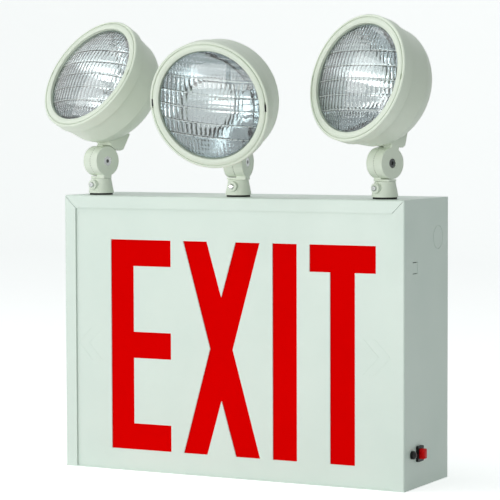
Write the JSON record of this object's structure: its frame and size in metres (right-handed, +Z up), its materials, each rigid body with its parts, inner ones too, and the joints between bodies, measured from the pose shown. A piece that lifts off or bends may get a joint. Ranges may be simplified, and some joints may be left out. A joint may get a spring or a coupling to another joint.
{
  "type": "emergency exit light",
  "caption": "Steel wall or shelf exit sign with swivelling sealed-beam emergency lamps on top, battery and charger inside, and a test button on the side.",
  "frame": {"origin": "centre of the housing's flat bottom face", "axes": "+Z up, the lettered face looks along -Y, the back plate along +Y, the test button along +X"},
  "size_m": [0.4167, 0.161, 0.4349],
  "materials": {
    "white_steel": "satin white powder coat",
    "white_tray": "flat white paint",
    "red_acrylic": "smooth translucent red",
    "led_board": "solder-masked board",
    "battery_case": "moulded",
    "zinc_steel": "zinc plated",
    "dark_steel": "blackened",
    "core_steel": "laminated",
    "green_board": "solder-masked board",
    "black_plastic": "moulded",
    "pilot_black": "polished",
    "red_button": "polished",
    "rubber_gasket": "soft",
    "cream_plastic": "moulded satin",
    "lens_glass": "pressed clear glass",
    "mirror_glass": "vacuum coated",
    "filament_metal": "drawn wire",
    "brass_terminal": "turned"
  },
  "bodies": {
    "housing": {"housing_wrap": "white_steel", "bottom_plate": "white_steel", "back_plate": "white_steel", "back_screws": "zinc_steel", "stencil_face": "white_steel", "red_diffuser": "red_acrylic", "light_box_back": "white_tray", "upper_led_strip": "led_board", "lower_led_strip": "led_board", "battery": "battery_case", "battery_strap": "zinc_steel", "transformer": "core_steel", "charger_board": "green_board", "test_switch_body": "black_plastic", "pilot_lamp": "pilot_black", "left_gasket": "rubber_gasket", "left_swivel_base": "cream_plastic", "left_swivel_nut": "zinc_steel", "left_lock_screw": "zinc_steel", "middle_gasket": "rubber_gasket", "middle_swivel_base": "cream_plastic", "middle_swivel_nut": "zinc_steel", "middle_lock_screw": "zinc_steel", "right_gasket": "rubber_gasket", "right_swivel_base": "cream_plastic", "right_swivel_nut": "zinc_steel", "right_lock_screw": "zinc_steel"},
    "left_swivel": {"left_lower_knuckle": "cream_plastic", "left_tilt_screw": "dark_steel", "left_tilt_nut": "zinc_steel"},
    "left_head": {"left_upper_knuckle": "cream_plastic", "left_lamp_shell": "cream_plastic", "left_bezel_ring": "cream_plastic", "left_lens": "lens_glass", "left_reflector": "mirror_glass", "left_filament": "filament_metal", "left_terminals": "brass_terminal"},
    "middle_swivel": {"middle_lower_knuckle": "cream_plastic", "middle_tilt_screw": "dark_steel", "middle_tilt_nut": "zinc_steel"},
    "middle_head": {"middle_upper_knuckle": "cream_plastic", "middle_lamp_shell": "cream_plastic", "middle_bezel_ring": "cream_plastic", "middle_lens": "lens_glass", "middle_reflector": "mirror_glass", "middle_filament": "filament_metal", "middle_terminals": "brass_terminal"},
    "right_swivel": {"right_lower_knuckle": "cream_plastic", "right_tilt_screw": "dark_steel", "right_tilt_nut": "zinc_steel"},
    "right_head": {"right_upper_knuckle": "cream_plastic", "right_lamp_shell": "cream_plastic", "right_bezel_ring": "cream_plastic", "right_lens": "lens_glass", "right_reflector": "mirror_glass", "right_filament": "filament_metal", "right_terminals": "brass_terminal"},
    "test_push": {"test_button": "red_button"}
  },
  "joints": [
    {"name": "left_pan", "type": "hinge", "parent": "housing", "child": "left_swivel", "pos_m": [-0.152, -0.0293, 0.276], "axis": [0, 0, 1], "range_deg": [-57, 63]},
    {"name": "left_tilt", "type": "hinge", "parent": "left_swivel", "child": "left_head", "pos_m": [-0.152, -0.0293, 0.2989], "axis": [-0.9511, 0.309, 0], "range_deg": [-45, 14.8]},
    {"name": "middle_pan", "type": "hinge", "parent": "housing", "child": "middle_swivel", "pos_m": [0, -0.0293, 0.276], "axis": [0, 0, 1], "range_deg": [-44, 16]},
    {"name": "middle_tilt", "type": "hinge", "parent": "middle_swivel", "child": "middle_head", "pos_m": [0, -0.0293, 0.2989], "axis": [-0.9973, -0.0732, 0], "range_deg": [-2.7, 57]},
    {"name": "right_pan", "type": "hinge", "parent": "housing", "child": "right_swivel", "pos_m": [0.152, -0.0293, 0.276], "axis": [0, 0, 1], "range_deg": [-24, 96]},
    {"name": "right_tilt", "type": "hinge", "parent": "right_swivel", "child": "right_head", "pos_m": [0.152, -0.0293, 0.2989], "axis": [-0.9361, 0.3518, 0], "range_deg": [-29, 30.8]},
    {"name": "test_press", "type": "slide", "parent": "housing", "child": "test_push", "axis": [-1, 0, 0], "range_m": [0, 0.0015], "stiffness_N_per_m": 800, "springref_m": -0.001}
  ]
}
